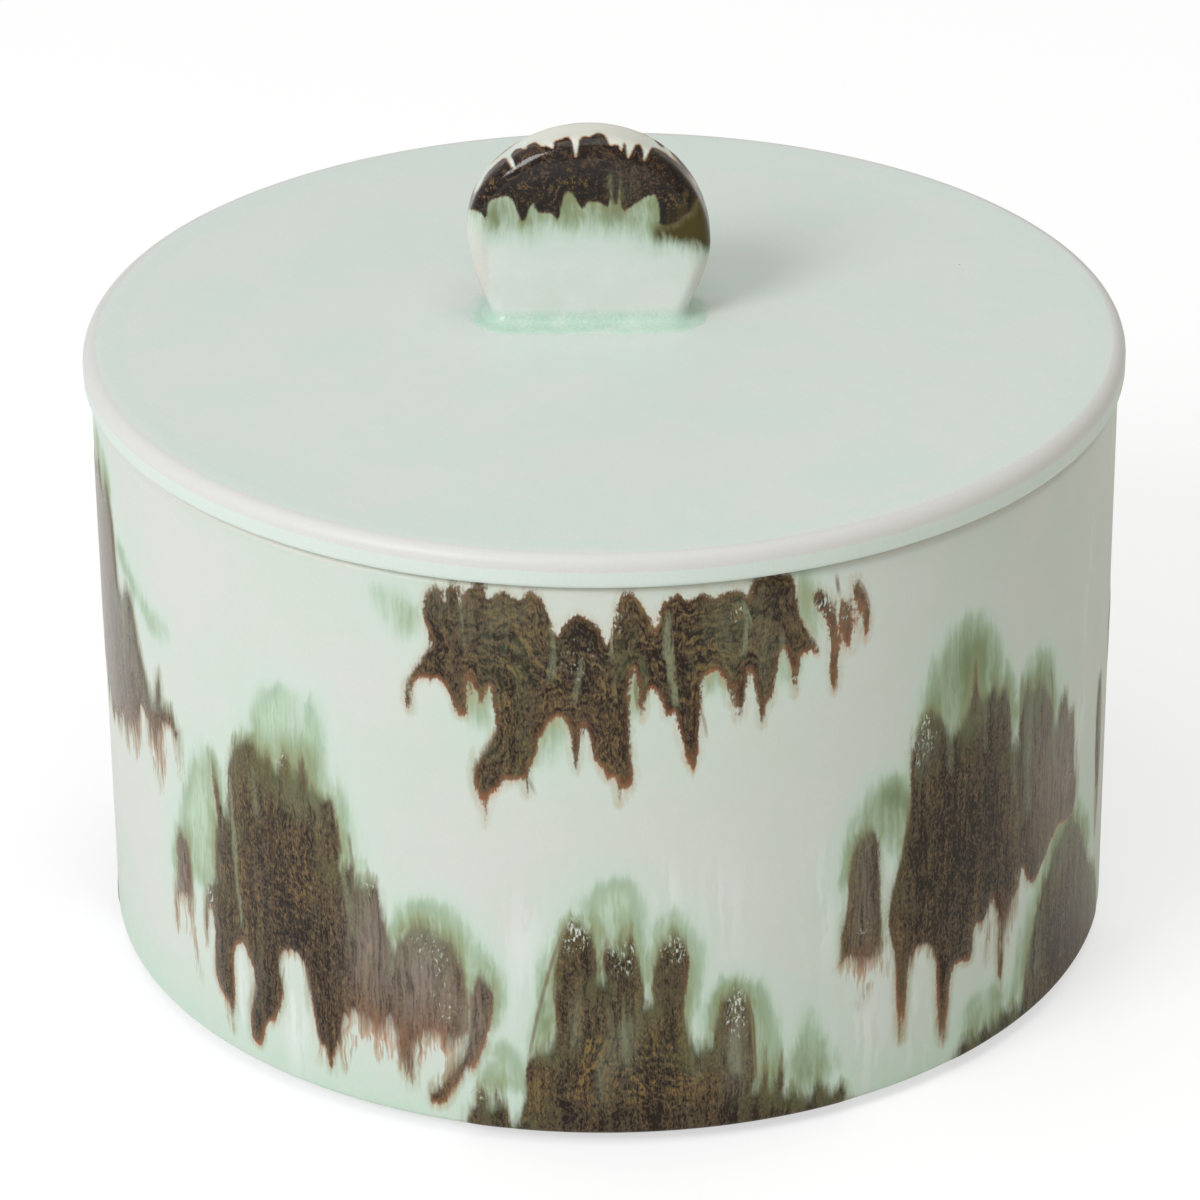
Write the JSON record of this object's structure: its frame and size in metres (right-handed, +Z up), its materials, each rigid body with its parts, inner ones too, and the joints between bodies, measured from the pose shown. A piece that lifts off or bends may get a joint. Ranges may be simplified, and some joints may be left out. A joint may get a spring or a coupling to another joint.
{
  "type": "cookie jar",
  "caption": "Squat straight-sided stoneware jar with a flat lift-off lid, a locating ring under the lid and an upright disc knob.",
  "frame": {"origin": "middle of the foot ring's underside, on the surface that the jar stands on", "axes": "+Z up along the jar's axis, +X to the right and -Y towards the viewer in front of the knob's broad face"},
  "size_m": [0.18, 0.18, 0.1448],
  "materials": {
    "drip_glaze": "glossy white glaze with runs of dark brown, ochre and green glaze",
    "celadon_glaze": "glossy pale grey-green glaze, paler on the edges and greener where it pools",
    "knob_glaze": "glossy pale green glaze under a scalloped band of dark brown glaze",
    "bare_clay": "matte unglazed buff stoneware"
  },
  "bodies": {
    "jar": {"jar_body": "drip_glaze", "foot_ring": "bare_clay"},
    "lid": {"lid_plate": "celadon_glaze", "lid_flange": "celadon_glaze", "lid_knob": "knob_glaze"}
  },
  "joints": [
    {"name": "lid_lift", "type": "slide", "parent": "jar", "child": "lid", "axis": [0, 0, 1], "range_m": [0, 0.15]}
  ]
}
